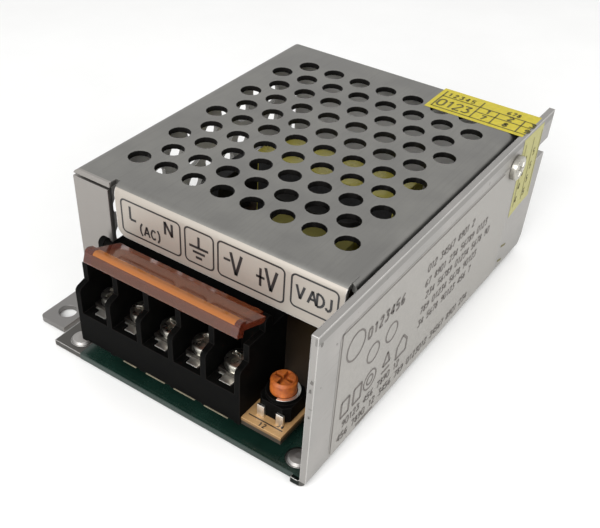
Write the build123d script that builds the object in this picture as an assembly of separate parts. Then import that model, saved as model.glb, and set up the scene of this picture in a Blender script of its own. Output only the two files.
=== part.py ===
from build123d import *
import math
import os

# A small enclosed power supply. An aluminium chassis is one sheet, folded into a base and a tall
# right wall. A perforated steel cover is folded over the rest: top, left wall, back wall, a front
# lip over the terminals and a foot with a mounting hole.
# All sizes are millimetres. Places are measured from the left, front and underside of the case,
# and the finished pieces are moved so that the origin is the middle of the case's underside.

# Sheets of the case
chassis_sheet = 1.2
cover_sheet = 1.0
bend_radius = 1.8
lid_gap = 0.6
seam_gap = 0.25
base_setback = 0.8
base_left = 1.0
wall_tongue = 5.0
cover_front = 11.7

# Perforation
hole_diameter = 4.2
hole_sides = 16
hole_pitch = 6.1
hole_row_step = 5.5
hole_first_row = 9.7
hole_last_margin = 8.5
hole_side_margin = 6.5
wall_hole_drop = 5.6
wall_hole_floor = 4.0

# Front lip, front flange, foot and slot
lip_clearance = 3.4
lip_left = 9.6
lip_right_margin = 1.0
lip_corner = 2.0
flange_width = 8.0
flange_slit = 0.6
foot_reach = 6.6
foot_front = 4.2
foot_root = 8.0
foot_hole_radius = 1.8
foot_hole_inset = 4.2
slot_width = 3.2
slot_depth = 3.4
slot_height = 25.0
tongue_corner = 3.5
right_flange_height = 8.5

# Pressed bosses in the base
boss_radius = 2.1
boss_height = 0.8
boss_inset = 4.0
left_boss_inset = 5.0

# Circuit board and what carries it
standoff_height = 2.2
board_thickness = 1.6
board_side_gap = 0.6
board_front = 3.0
notch_depth = 7.4
board_back_gap = 1.0
standoff_radius = 2.3
board_screw_inset = 2.8
board_hole_radius = 1.5
board_thread_radius = 0.9
board_thread_floor = 0.6
thread_gap = 0.05
film_thickness = 0.3
film_gap = 0.3
film_hole_gap = 0.2
film_front_margin = 0.5

# Terminal block
way_count = 5
way_pitch = 7.0
barrier = 1.1
block_margin = 5.3
block_overhang = 0.5
block_depth = 13.1
block_height = 14.4
block_floor = 5.0
barrier_step_height = 10.3
barrier_step_depth = 2.4
barrier_slope_rise = 0.7
barrier_round = 1.0
block_rear = 3.2
skirt_drop = 1.3
skirt_gap = 0.1
nub_drop = 0.3
contact_thickness = 0.8
contact_depth = 8.6
contact_side_gap = 0.3
contact_setback = 1.1
contact_tab_width = 2.4
contact_tab_depth = 1.4
contact_leg_width = 2.0
contact_leg_gap = 0.2
screw_hole_floor = 1.0
screw_end_gap = 0.6
terminal_setback = 5.6
terminal_shank = 1.35
terminal_head = 2.65
terminal_head_height = 1.8
clamp_thickness = 0.8
running_gap = 0.08

# Hinged terminal cover, which stands part open
lid_thickness = 1.1
lid_tilt = 20.6
lid_reach = 8.6
lid_rib_width = 1.7
lid_rib_rise = 0.5
lid_apron = 2.3
lid_lug = 1.0
lid_lug_reach = 3.0
lid_pin_radius = 0.6
lid_pin_gap = 0.1
lid_left_gap = 2.8
lid_side_gap = 1.2
lid_end_gap = 0.1
lid_lip_gap = 0.4
lid_axis_height = 1.6
lid_back_radius = 1.1
lid_corner = 0.8
arm_radius = 1.0
arm_gap = 0.3

# Trimmer
trimmer_width = 6.2
trimmer_depth = 6.6
trimmer_height = 4.4
trimmer_gap = 1.2
trimmer_setback = 2.6
rotor_radius = 2.3
rotor_height = 2.6
rotor_slot_width = 0.7
rotor_slot_depth = 0.9
rotor_slot_reach = 1.7
rotor_chamfer = 0.4
rotor_shaft = 1.0
rotor_shaft_floor = 1.0
trimmer_collar_height = 0.8
trimmer_collar_rim = 0.7
trimmer_chamfer = 1.1
trimmer_leg_spread = 1.9
trimmer_leg_width = 1.4
trimmer_leg = 0.5
trimmer_leg_height = 2.4

# Spaces between parts on the board
row_gap = 0.6
part_gap = 1.0
solder_gap = 0.3

# Parts behind the terminals
fuse_radius = 1.9
fuse_length = 9.0
fuse_cap = 2.0
fuse_cap_wall = 0.2
fuse_lift = 2.0
thermistor_radius = 4.5
thermistor_thickness = 3.6
choke_radius = 6.0
choke_bore = 3.0
choke_thickness = 5.0
choke_wire = 0.7
choke_lift = 1.2
choke_coil_height = 9.6
choke_coil_space = 1.5
disc_edge = 0.9
lead_radius = 0.35
lead_sides = 6
lead_spread = 2.5

# Capacitors
bulk_radius = 8.0
bulk_length = 20.0
can_corner = 0.6
film_cap_length = 16.0
film_cap_depth = 9.0
film_cap_height = 15.0
film_cap_corner = 0.8
film_cap_lead_inset = 1.5
bulk_lead_spread = 3.8
output_cap_radius = 5.0
output_cap_height = 18.0
output_cap_edge = 0.4
board_edge_space = 1.8

# Transformer
core_depth = 11.4
core_height = 19.6
core_leg = 4.7
core_yoke = 4.4
core_lift = 1.8
core_side_gap = 0.3
bobbin_flange = 1.0
bobbin_wall = 1.0
bobbin_gap = 0.3
bobbin_corner = 4.0
bobbin_leg_width = 2.4
winding_thickness = 2.2
winding_inset = 1.6
tape_thickness = 0.2
case_air = 5.0

# Parts behind the transformer
rear_row_depth = 9.0
last_row_depth = 6.4
rear_choke_radius = 4.2
rear_choke_height = 11.0
rear_choke_waist = 1.2
rear_choke_wire_gap = 0.2
bridge_length = 14.5
bridge_thickness = 3.6
bridge_height = 10.5
bridge_corner = 2.0
part_lift = 1.5
disc_radius = 4.0
disc_thickness = 3.4
chip_length = 9.4
chip_width = 6.4
chip_height = 3.4
chip_lift = 0.7
chip_pin_width = 0.7
chip_pin_thickness = 0.6
coupler_length = 4.6
small_cap_radius = 3.1
small_cap_height = 7.0
resistor_radius = 1.2
resistor_length = 5.0
resistor_count = 4

# Power packages, which the right wall cools
package_width = 10.0
package_thickness = 4.4
package_height = 9.0
package_tab = 1.3
package_tab_height = 6.2
package_tab_hole = 3.5
package_lift = 3.0
package_top_gap = 0.9
package_lead_step = 2.54
package_lead_width = 0.8
package_lead_thickness = 0.6
pad_thickness = 0.3
pad_margin = 0.6
package_screw_shank = 1.4
package_screw_head = 2.6
package_screw_head_height = 1.6

# Case screws
case_screw_shank = 1.5
case_screw_clear = 0.2
case_screw_head = 2.7
case_screw_head_height = 1.7
case_screw_length = 5.0
right_screw_back = 11.8
right_screw_drop = 5.0
left_screw_height = 9.0
left_tab_width = 8.0
left_tab_height = 13.0
left_tab_back = 13.0

# Heights, from the underside up
board_under = chassis_sheet + standoff_height
board_top = board_under + board_thickness
core_base = board_top + core_lift
core_top = core_base + core_height + tape_thickness
package_base = board_top + package_lift
package_top = package_base + package_height + package_tab_height
package_tab_z = package_base + package_height + package_tab_hole
# The taller of two stacks sets the height: the transformer, or a package below the cover's flange.
case_height = max(core_top + case_air + cover_sheet, package_top + package_top_gap + right_flange_height)
block_top = board_top + block_height
floor_top = board_top + block_floor
lip_bottom = block_top + lip_clearance
trimmer_top = board_top + trimmer_height
hinge_z = block_top + lid_axis_height
right_screw_z = case_height - right_screw_drop

# Widths, from the left
block_width = way_count * way_pitch + barrier
board_left = cover_sheet + board_side_gap
parts_left = board_left + board_edge_space
block_left = board_left + block_margin
block_right = block_left + block_width
trimmer_left = block_right + trimmer_gap
tongue_right = trimmer_left + trimmer_width + row_gap
bulk_right = parts_left + bulk_length
film_cap_left = bulk_right + lead_radius * 4 + part_gap
second_row_right = film_cap_left + film_cap_length + part_gap + output_cap_radius * 2 + output_cap_edge
board_right = max(tongue_right + block_margin, second_row_right)
case_width = board_right + board_side_gap + chassis_sheet
wall_inside = case_width - chassis_sheet
cover_right = wall_inside - lid_gap
flange_right = cover_right - cover_sheet
output_cap_x = board_right - output_cap_edge - output_cap_radius
core_right = output_cap_x - output_cap_radius - core_side_gap - tape_thickness
bobbin_build = bobbin_gap + bobbin_wall + winding_thickness + winding_inset
core_width = (core_leg * 2 + bobbin_build + bobbin_gap) * 2
core_centre = core_right - core_width / 2
disc_x = core_right + tape_thickness + part_gap + disc_thickness / 2
package_back = wall_inside - pad_thickness
package_left = package_back - package_thickness
rear_choke_x = package_left - part_gap - rear_choke_radius

# Depths, from the front edge of the right wall
block_front = board_front - block_overhang
block_back = block_front + block_depth
front_row_depth = choke_thickness + choke_wire * 2
front_row_start = block_back + row_gap
front_row_middle = front_row_start + front_row_depth / 2
second_row_start = front_row_start + front_row_depth + row_gap
second_row_end = second_row_start + bulk_radius * 2
bobbin_depth = core_depth + bobbin_build * 2
bobbin_front = second_row_end + row_gap
core_middle = bobbin_front + bobbin_depth / 2
rear_row_start = bobbin_front + bobbin_depth + row_gap
rear_row_middle = rear_row_start + rear_row_depth / 2
last_row_middle = rear_row_start + rear_row_depth + row_gap + last_row_depth / 2
board_back = last_row_middle + last_row_depth / 2
cover_back = board_back + board_back_gap + cover_sheet
case_length = cover_back + wall_tongue
output_cap_step = output_cap_radius + row_gap / 2
disc_y = second_row_end + output_cap_step * 2 + part_gap + disc_radius

# Board fixings, terminal ways, trimmer and power packages
notch_back = board_front + notch_depth
standoff_x = (board_left + board_screw_inset, board_right - board_screw_inset)
standoff_y = (cover_front + cover_sheet + part_gap / 2 + standoff_radius, board_back - board_screw_inset)
standoff_places = [(x, y) for x in standoff_x for y in standoff_y]
way_centres = [block_left + barrier / 2 + way_pitch * (i + 0.5) for i in range(way_count)]
terminal_y = block_front + terminal_setback
contact_front = block_front + contact_setback + contact_tab_depth
hinge_y = cover_front - lid_lip_gap - lid_back_radius
lid_left = block_left + barrier + lid_left_gap
lid_right_lug = block_right - barrier - lid_side_gap - lid_lug
lid_right = block_right - lid_end_gap
trimmer_x = trimmer_left + trimmer_width / 2
trimmer_y = board_front + trimmer_setback + trimmer_depth / 2
left_screw_y = cover_back - left_tab_back
right_screw_y = cover_back - right_screw_back
package_lead_reach = package_lead_step + package_lead_width / 2
rear_package_y = standoff_y[1] - standoff_radius - part_gap / 2 - package_lead_reach
package_places = (rear_package_y - package_width - part_gap, rear_package_y)

origin = Pos(-case_width / 2, -case_length / 2, 0)


def save(name, *shapes):
    # One piece, or one group of like pieces, to one file, in the case's own frame.
    solids = [origin * solid for shape in shapes for solid in shape.solids()]
    export_step(Compound(solids), f"parts/{name}.step")


def block(x0, x1, y0, y1, z0, z1):
    # A box between two opposite corners.
    return Pos(x0, y0, z0) * Box(x1 - x0, y1 - y0, z1 - z0, align=(Align.MIN, Align.MIN, Align.MIN))


def post(x, y, z0, z1, radius):
    # An upright cylinder.
    return Pos(x, y, z0) * Cylinder(radius, z1 - z0, align=(Align.CENTER, Align.CENTER, Align.MIN))


def across(x0, x1, y, z, radius):
    # A cylinder along X.
    lying = Rot(0, 90, 0) * Cylinder(radius, x1 - x0, align=(Align.CENTER, Align.CENTER, Align.MIN))
    return Pos(x0, y, z) * lying


def outline(points, rounds=()):
    # A flat face through the points, with some corners rounded: (point number, radius) pairs.
    face = make_face(Polyline(*points, close=True))
    for number, radius in rounds:
        corner = face.vertices().sort_by_distance(points[number])[0]
        face = fillet(corner, radius)
    return face


def along_x(points, x0, x1, rounds=()):
    # A profile drawn as (y, z) and drawn out along X.
    return extrude(Plane.YZ.offset(x0) * outline(points, rounds), x1 - x0)


def turned(profile):
    # A profile drawn as (radius, z) and turned about Z.
    return revolve(Plane.XZ * outline(profile), Axis.Z)


def along_y(points, y0, y1, rounds=()):
    # A profile drawn as (x, z) and drawn out along Y.
    return extrude(Plane.XZ.offset(-y0) * outline(points, rounds), -(y1 - y0))


def punched(places):
    # Punched holes, drawn with short straight sides because there are so many of them.
    hole = Face(Wire.make_polygon([(hole_diameter / 2 * math.cos(math.tau * i / hole_sides),
                                    hole_diameter / 2 * math.sin(math.tau * i / hole_sides))
                                   for i in range(hole_sides)], close=True))
    return Sketch() + [Pos(*place) * hole for place in places]


def make_chassis():
    # The base and the right wall are one folded sheet, rounded where it turns up.
    t, r = chassis_sheet, bend_radius
    fold = along_y([(0, 0), (case_width, 0), (case_width, case_height), (wall_inside, case_height),
                    (wall_inside, t), (0, t)],
                   0, case_length, rounds=((1, r), (4, r - t)))
    # The base stops short at the front and behind the cover, and gives room to the left wall.
    fold -= block(-1, wall_inside - r, -1, base_setback, -1, t + 1)
    fold -= block(-1, base_left, -1, cover_front, -1, t + 1)
    fold -= block(-1, wall_inside - r, cover_back, case_length + 1, -1, t + 1)
    fold -= block(-1, cover_sheet + seam_gap, cover_front - seam_gap, case_length, -1, t + 1)
    # The tongue behind the cover has a rounded lower corner and a slot that opens to the back.
    fold -= along_x([(case_length - tongue_corner, -1), (case_length + 1, -1),
                     (case_length + 1, tongue_corner), (case_length, tongue_corner),
                     (case_length - tongue_corner / 3, tongue_corner / 3),
                     (case_length - tongue_corner, 0)], wall_inside - r * 2, case_width + 1)
    slot_end = case_length - slot_depth
    fold -= block(wall_inside - 1, case_width + 1, slot_end, case_length + 1,
                  slot_height - slot_width / 2, slot_height + slot_width / 2)
    fold -= across(wall_inside - 1, case_width + 1, slot_end, slot_height, slot_width / 2)
    # A tab turned up inside the left wall takes one case screw.
    x0 = cover_sheet + seam_gap
    fold += block(x0, x0 + t, left_screw_y - left_tab_width / 2, left_screw_y + left_tab_width / 2,
                  0, left_tab_height)
    fold -= across(x0 - 1, x0 + t + 1, left_screw_y, left_screw_height, case_screw_shank)
    fold -= across(wall_inside - 1, case_width + 1, right_screw_y, right_screw_z,
                   case_screw_shank + case_screw_clear)
    for y in package_places:
        fold -= across(wall_inside - 1, case_width + 1, y, package_tab_z, package_screw_shank)
    # Two round bosses are pressed up in the base's front corners.
    dome = [(0, 0), (boss_radius, 0), (boss_radius, t), (boss_radius - boss_height / 2, t + boss_height * 0.7),
            (boss_radius / 3, t + boss_height), (0, t + boss_height)]
    for x in (left_boss_inset, case_width - boss_inset):
        fold += Pos(x, boss_inset, 0) * turned(dome)
    for x, y in standoff_places:
        fold -= post(x, y, -1, t + 1, board_hole_radius)
    return fold


def make_cover():
    t, r = cover_sheet, bend_radius
    top, under = case_height, case_height - cover_sheet
    right_bottom = top - right_flange_height
    # Top, left wall and right flange are one fold; the right flange stands inside the chassis wall.
    fold = along_y([(0, seam_gap), (0, top), (cover_right, top), (cover_right, right_bottom),
                    (flange_right, right_bottom), (flange_right, under), (t, under), (t, seam_gap)],
                   cover_front, cover_back, rounds=((1, r), (2, r), (5, r - t), (6, r - t)))
    fold -= block(flange_right - r, cover_right + 1, cover_front - 1, cover_front + r * 2,
                  right_bottom - 1, top - r)
    # The back wall turns down from the top and stands on the base.
    fold -= block(-1, cover_right + 1, cover_back - t, cover_back + 1, -1, top + 1)
    back_bottom = chassis_sheet + seam_gap
    fold += along_x([(cover_back - r * 2, under), (cover_back - t, under), (cover_back - t, back_bottom),
                     (cover_back, back_bottom), (cover_back, top), (cover_back - r * 2, top)],
                    r, cover_right - r, rounds=((1, r - t), (4, r)))
    # The front lip turns down over the terminals, with a relief cut at each end of its bend.
    lip_right = cover_right - lip_right_margin
    fold -= block(lip_left - t, cover_right + 1, cover_front - 1, cover_front + r, under - 1, top + 1)
    fold += along_x([(cover_front + r * 2, under), (cover_front + t, under), (cover_front + t, lip_bottom),
                     (cover_front, lip_bottom), (cover_front, top), (cover_front + r * 2, top)],
                    lip_left, lip_right, rounds=((1, r - t), (4, r)))
    lip_corners = fold.edges().filter_by(Axis.Y).filter_by_position(
        Axis.Z, lip_bottom - t / 2, lip_bottom + t / 2)
    fold = fillet(lip_corners, lip_corner)
    # The left wall turns in at the front, and this flange gives way to the terminal block.
    low, step = board_top + part_gap / 2, block_top + part_gap
    high = under - flange_slit
    flange = [(t, low), (block_left - part_gap, low), (block_left - part_gap, step),
              (flange_width, step), (flange_width, high), (t, high)]
    fold += along_y(flange, cover_front, cover_front + t)
    fold -= block(-1, r, cover_front - 1, cover_front + t * 2, high, under)
    # A foot turns out from the left wall's lower edge and runs forward beside the base.
    foot_back = cover_front + foot_root
    fold += block(-foot_reach, t, cover_front, foot_back, 0, t)
    fold += block(-foot_reach, -seam_gap, foot_front, foot_back, 0, t)
    foot_edges = fold.edges().filter_by(Axis.Z).filter_by_position(
        Axis.X, -foot_reach - t / 2, -foot_reach + t / 2)
    fold = fillet(foot_edges, t)
    fold -= post(-foot_reach / 2, foot_front + foot_hole_inset, -1, t + 1, foot_hole_radius)
    # Holes for the two case screws: clear in the left wall, tapped in the right flange.
    fold -= across(-1, t + 1, left_screw_y, left_screw_height, case_screw_shank + case_screw_clear)
    fold -= across(flange_right - 1, cover_right + 1, right_screw_y, right_screw_z, case_screw_shank)
    # Perforation of the top, in line with the perforation of the left wall.
    first_y = cover_front + hole_first_row
    rows = int((cover_back - hole_last_margin - first_y) / hole_row_step) + 1
    columns = int((cover_right - hole_side_margin * 2) / hole_pitch) + 1
    first_x = (cover_right - (columns - 1) * hole_pitch) / 2
    # Odd rows are moved by half a step. On the top they hold one hole fewer.
    top_places = [(first_x + (column + row % 2 / 2) * hole_pitch, first_y + row * hole_row_step)
                  for row in range(rows) for column in range(columns - row % 2)]
    fold -= extrude(Plane.XY.offset(under - 1) * punched(top_places), t + 2)
    first_z = case_height - wall_hole_drop
    wall_columns = int((first_z - wall_hole_floor) / hole_pitch) + 1
    wall_places = [(first_y + row * hole_row_step, first_z - (column + row % 2 / 2) * hole_pitch)
                   for row in range(rows) for column in range(wall_columns)]
    # The wall keeps its metal round the case screw.
    screw_space = case_screw_head + (hole_diameter + part_gap) / 2
    wall_places = [place for place in wall_places
                   if math.dist(place, (left_screw_y, left_screw_height)) > screw_space]
    fold -= extrude(Plane.YZ.offset(-1) * punched(wall_places), t + 2)
    return fold


def make_case_screws():
    # Pan head screws: one through the right wall, one through the cover's left wall.
    def screw(start, inward):
        head = Cylinder(case_screw_head, case_screw_head_height, align=(Align.CENTER, Align.CENTER, Align.MAX))
        body = head + Cylinder(case_screw_shank, case_screw_length,
                               align=(Align.CENTER, Align.CENTER, Align.MIN))
        return start * Rot(0, inward, 0) * body
    right = screw(Pos(case_width, right_screw_y, right_screw_z), -90)
    left = screw(Pos(0, left_screw_y, left_screw_height), 90)
    return [right, left]


def make_board():
    # The board narrows at the front to leave the base's corners free.
    tongue_left = block_left
    points = [(board_left, notch_back), (tongue_left, notch_back), (tongue_left, board_front),
              (tongue_right, board_front), (tongue_right, notch_back), (board_right, notch_back),
              (board_right, board_back), (board_left, board_back)]
    board = extrude(Plane.XY.offset(board_under) * outline(points), board_thickness)
    for x, y in standoff_places:
        board -= post(x, y, board_under - 1, board_top + 1, board_hole_radius)
    clear = part_gap / 2
    board -= block(board_left - 1, cover_sheet + seam_gap + chassis_sheet + clear,
                   left_screw_y - left_tab_width / 2 - clear, left_screw_y + left_tab_width / 2 + clear,
                   board_under - 1, board_top + 1)
    return board


def make_standoffs():
    # Six-sided threaded spacers, each with a spigot riveted in the base.
    pillars = []
    for x, y in standoff_places:
        hexagon = Pos(x, y, chassis_sheet) * RegularPolygon(standoff_radius, 6)
        pillar = extrude(hexagon, standoff_height)
        pillar += post(x, y, 0, chassis_sheet, board_hole_radius)
        pillar -= post(x, y, board_thread_floor, board_under + 1, board_thread_radius)
        pillars.append(pillar)
    return pillars


def make_board_screws():
    screws = []
    for x, y in standoff_places:
        head = post(x, y, board_top, board_top + case_screw_head_height, standoff_radius)
        screws.append(head + post(x, y, chassis_sheet, board_top, board_thread_radius - thread_gap))
    return screws


def make_insulating_film():
    # A plastic film between the soldered side and the base.
    x0 = cover_sheet + seam_gap + chassis_sheet + film_gap
    film_top = chassis_sheet + film_thickness
    film = block(x0, board_right, notch_back, board_back, chassis_sheet, film_top)
    # In front it runs between the bosses, nearly to the base's edge.
    film += block(left_boss_inset + boss_radius + film_front_margin,
                  case_width - boss_inset - boss_radius - film_front_margin,
                  base_setback + film_front_margin, notch_back, chassis_sheet, film_top)
    for x, y in standoff_places:
        film -= post(x, y, 0, board_under, standoff_radius + film_hole_gap)
    return film


def make_terminal_block():
    # A moulded body: floor, tall rear wall and a stepped barrier on each side of every way.
    body = block(block_left, block_right, block_front, block_back, board_top, floor_top)
    body += block(block_left, block_right, block_back - block_rear, block_back, floor_top, block_top)
    step_z = board_top + barrier_step_height
    for i in range(way_count + 1):
        x = block_left + i * way_pitch
        body += along_x([(block_front, board_top), (block_back, board_top), (block_back, block_top),
                         (block_front + barrier_step_depth, block_top),
                         (block_front + barrier_step_depth, step_z + barrier_slope_rise),
                         (block_front, step_z)], x, x + barrier, rounds=((5, barrier_round),))
    # Each contact drops into a pocket in the floor, and its screw into a blind hole below.
    half = (way_pitch - barrier) / 2 - contact_side_gap
    tab_half = contact_tab_width / 2 + contact_side_gap
    leg_half = contact_leg_width / 2 + contact_leg_gap
    pocket_back = block_front + contact_depth
    for x in way_centres:
        body -= block(x - tab_half, x + tab_half, block_front + contact_setback, pocket_back,
                      floor_top - contact_thickness, floor_top + 1)
        body -= block(x - half, x + half, contact_front, pocket_back, floor_top - contact_thickness,
                      floor_top + 1)
        body -= post(x, terminal_y, board_top + screw_hole_floor, floor_top, terminal_shank + contact_side_gap)
        body -= block(x - leg_half, x + leg_half, pocket_back - contact_thickness, pocket_back,
                      board_top - 1, floor_top + 1)
    # A skirt hangs in front of the board's edge, with a nub under each barrier.
    skirt_back = board_front - skirt_gap
    skirt_bottom = board_top - skirt_drop
    body += block(block_left, block_right, block_front, skirt_back, skirt_bottom, board_top)
    for i in range(way_count + 1):
        x = block_left + i * way_pitch
        body += block(x, x + barrier, block_front, skirt_back, skirt_bottom - nub_drop, skirt_bottom)
    # Two arms rise from the end barriers, each with a stub pin for the cover.
    for x in (block_left, block_right - barrier):
        body += block(x, x + barrier, hinge_y - arm_radius, hinge_y + arm_radius, block_top - 1, hinge_z)
        body += across(x, x + barrier, hinge_y, hinge_z, arm_radius)
    body += across(block_left, lid_left + lid_lug, hinge_y, hinge_z, lid_pin_radius)
    body += across(lid_right_lug, block_right, hinge_y, hinge_z, lid_pin_radius)
    return body


def make_contacts():
    # Plated brass strips: a plate under each screw, a narrow tab in front and a leg down to the board.
    strips = []
    for x in way_centres:
        half = (way_pitch - barrier) / 2 - contact_side_gap * 2
        y1 = block_front + contact_depth - contact_side_gap / 2
        strip = block(x - half, x + half, contact_front + contact_side_gap / 2, y1,
                      floor_top - contact_thickness, floor_top)
        strip += block(x - contact_tab_width / 2, x + contact_tab_width / 2,
                       block_front + contact_setback + contact_side_gap / 2, y1,
                       floor_top - contact_thickness, floor_top)
        strip += block(x - contact_leg_width / 2, x + contact_leg_width / 2,
                       y1 - contact_thickness + contact_leg_gap, y1, board_top, floor_top)
        strip -= post(x, terminal_y, board_top, floor_top + 1, terminal_shank + running_gap)
        strips.append(strip)
    return strips


def make_terminal_screw(x):
    # A flat head on a plain shank, which goes through the contact into the block.
    head_base = floor_top + clamp_thickness
    shank_end = board_top + screw_hole_floor + screw_end_gap
    return (post(x, terminal_y, head_base, head_base + terminal_head_height, terminal_head)
            + post(x, terminal_y, shank_end, head_base, terminal_shank))


def make_clamp_plate(x):
    # A square washer held under the screw's head.
    half = terminal_head
    plate = block(x - half, x + half, terminal_y - half, terminal_y + half, floor_top,
                  floor_top + clamp_thickness)
    return plate - post(x, terminal_y, floor_top - 1, floor_top + clamp_thickness + 1,
                        terminal_shank + running_gap)


def make_terminal_cover():
    # Drawn level about its pins and turned up: a plate, a thick front rib and two hinge lugs.
    front, top = -lid_reach, lid_back_radius
    under, rib_back = top - lid_thickness, lid_rib_width - lid_reach
    profile = [(front, top + lid_rib_rise), (front, top - lid_apron), (rib_back, top - lid_apron),
               (rib_back, under), (0, under), (0, top), (rib_back, top), (rib_back, top + lid_rib_rise)]
    lid = along_x(profile, lid_left, lid_right, rounds=((0, lid_corner), (1, lid_corner / 2)))
    # The right end reaches over the last barrier and is notched round its arm.
    lid -= block(block_right - barrier - arm_gap, lid_right + 1, -arm_radius - arm_gap, top + 1, -top, top * 2)
    # Each lug ends round at the pin, and its upper side runs into the plate.
    for x in (lid_left, lid_right_lug):
        lug = along_x([(-lid_lug_reach, under), (0, -top), (0, top), (-lid_lug_reach, top)], x, x + lid_lug)
        lid += lug + across(x, x + lid_lug, 0, 0, top)
    lid -= across(lid_left - 1, lid_right + 1, 0, 0, lid_pin_radius + lid_pin_gap)
    return Pos(0, hinge_y, hinge_z) * Rot(-lid_tilt, 0, 0) * lid


def make_trimmer_body():
    # A moulded base with a round collar, and two bent terminals at the front.
    x0, x1 = trimmer_left, trimmer_left + trimmer_width
    y0, y1 = trimmer_y - trimmer_depth / 2, trimmer_y + trimmer_depth / 2
    body = block(x0, x1, y0, y1, board_top + solder_gap, trimmer_top - trimmer_collar_height)
    body = chamfer(body.edges().filter_by(Axis.Z), trimmer_chamfer)
    body += post(trimmer_x, trimmer_y, board_top, trimmer_top, rotor_radius + trimmer_collar_rim)
    return body - post(trimmer_x, trimmer_y, board_top + rotor_shaft_floor, trimmer_top + 1,
                       rotor_shaft + running_gap)


def make_trimmer_legs():
    legs = []
    y0 = trimmer_y - trimmer_depth / 2
    for side in (-1, 1):
        x = trimmer_x + side * trimmer_leg_spread
        leg = along_x([(y0 - trimmer_leg, board_top), (y0, board_top), (y0, board_top + trimmer_leg_height),
                       (y0 - trimmer_leg, board_top + trimmer_leg_height)],
                      x - trimmer_leg_width / 2, x + trimmer_leg_width / 2)
        legs.append(leg)
    return legs


def make_trimmer_rotor():
    # A cap with a cross slot for a screwdriver, on a short shaft.
    z0 = trimmer_top + running_gap
    rotor = post(trimmer_x, trimmer_y, z0, z0 + rotor_height, rotor_radius)
    rotor = chamfer(rotor.edges().group_by(Axis.Z)[-1], rotor_chamfer)
    for wide, deep in ((rotor_slot_reach, rotor_slot_width / 2), (rotor_slot_width / 2, rotor_slot_reach)):
        rotor -= block(trimmer_x - wide, trimmer_x + wide, trimmer_y - deep, trimmer_y + deep,
                       z0 + rotor_height - rotor_slot_depth, z0 + rotor_height + 1)
    shaft_end = board_top + rotor_shaft_floor + running_gap
    return rotor + post(trimmer_x, trimmer_y, shaft_end, z0, rotor_shaft)


def lead(x, y, z0, z1):
    # A thin wire lead, drawn with a few flat sides.
    return extrude(Pos(x, y, z0) * RegularPolygon(lead_radius, lead_sides), z1 - z0)


def make_fuse():
    # A glass tube between two end caps, lying on its leads.
    z = board_top + fuse_lift + fuse_radius
    return across(parts_left + fuse_cap, parts_left + fuse_length - fuse_cap, front_row_middle, z,
                  fuse_radius - fuse_cap_wall)


def make_fuse_caps():
    x0 = parts_left
    z = board_top + fuse_lift + fuse_radius
    caps = []
    for a, b in ((x0, x0 + fuse_cap), (x0 + fuse_length - fuse_cap, x0 + fuse_length)):
        cap = across(a, b, front_row_middle, z, fuse_radius)
        cap += lead((a + b) / 2, front_row_middle, board_top, z)
        caps.append(cap)
    return caps


def upright_disc(x, y, radius, thickness, turn):
    # A coated disc on two straight leads, with its face along X or Y.
    disc = Rot(90, 0, 0) * chamfer(Cylinder(radius, thickness).edges(), disc_edge)
    for side in (-1, 1):
        disc += lead(side * lead_spread, 0, -radius - part_lift, 0)
    return Pos(x, y, board_top + part_lift + radius) * Rot(0, 0, turn) * disc


def make_thermistor():
    x = parts_left + fuse_length + part_gap + thermistor_radius
    return upright_disc(x, front_row_middle, thermistor_radius, thermistor_thickness, 0)


def choke_centre():
    x = parts_left + fuse_length + part_gap * 3 + thermistor_radius * 2 + choke_radius
    return x + choke_wire, board_top + choke_lift + choke_radius + choke_wire


def make_choke_core():
    # A ferrite ring standing on edge.
    x, z = choke_centre()
    ring = Cylinder(choke_radius, choke_thickness) - Cylinder(choke_bore, choke_thickness + 1)
    return Pos(x, front_row_middle, z) * Rot(90, 0, 0) * ring


def make_choke_windings():
    # Two coils of enamelled wire, one on each side of the ring, each with a lead to the board.
    x, z = choke_centre()
    centre = Pos(x, front_row_middle, z) * Rot(90, 0, 0)
    outer = Cylinder(choke_radius + choke_wire, choke_thickness + choke_wire * 2)
    outer -= Cylinder(choke_bore - choke_wire, choke_thickness * 2)
    inner = Cylinder(choke_radius + running_gap, choke_thickness + running_gap * 2)
    inner -= Cylinder(choke_bore - running_gap, choke_thickness * 2)
    coils = []
    for side in (-1, 1):
        reach = choke_radius * 2
        half = Pos(side * (choke_coil_space + reach / 2), 0, 0) * Box(reach, choke_coil_height, reach)
        coil = centre * ((outer - inner) & half)
        lead_x = x + side * (choke_bore + choke_radius) / 2
        coil += lead(lead_x, front_row_middle, board_top, z - choke_coil_height / 2 + choke_wire / 2)
        coils.append(coil)
    return coils


def can(radius, height):
    # An aluminium can in its sleeve, drawn upright.
    return turned([(0, 0), (radius, 0), (radius, height - can_corner), (radius - can_corner, height),
                   (0, height)])


def make_bulk_capacitor():
    # The main capacitor lies on its side, and its leads turn down into the board.
    y, z = second_row_start + bulk_radius, board_top + bulk_radius
    body = Pos(bulk_right, y, z) * Rot(0, -90, 0) * can(bulk_radius, bulk_length)
    x = bulk_right + lead_radius * 2
    for lead_y in (y - bulk_lead_spread, y + bulk_lead_spread):
        body += block(bulk_right, x, lead_y - lead_radius, lead_y + lead_radius, z, z + lead_radius * 2)
        body += lead(x, lead_y, board_top, z + lead_radius * 2)
    return body


def make_film_capacitor():
    # A filled plastic box.
    x0, y1 = film_cap_left, bobbin_front - row_gap
    body = block(x0, x0 + film_cap_length, y1 - film_cap_depth, y1, board_top + solder_gap,
                 board_top + film_cap_height)
    body = chamfer(body.edges().filter_by(Axis.Z), film_cap_corner)
    for x in (x0 + film_cap_lead_inset, x0 + film_cap_length - film_cap_lead_inset):
        body += lead(x, y1 - film_cap_depth / 2, board_top, board_top + solder_gap)
    return body


def make_output_capacitors():
    # Two cans stand at the board's right edge, one in each row.
    return [Pos(output_cap_x, second_row_end + side * output_cap_step, board_top)
            * can(output_cap_radius, output_cap_height) for side in (-1, 1)]


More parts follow.
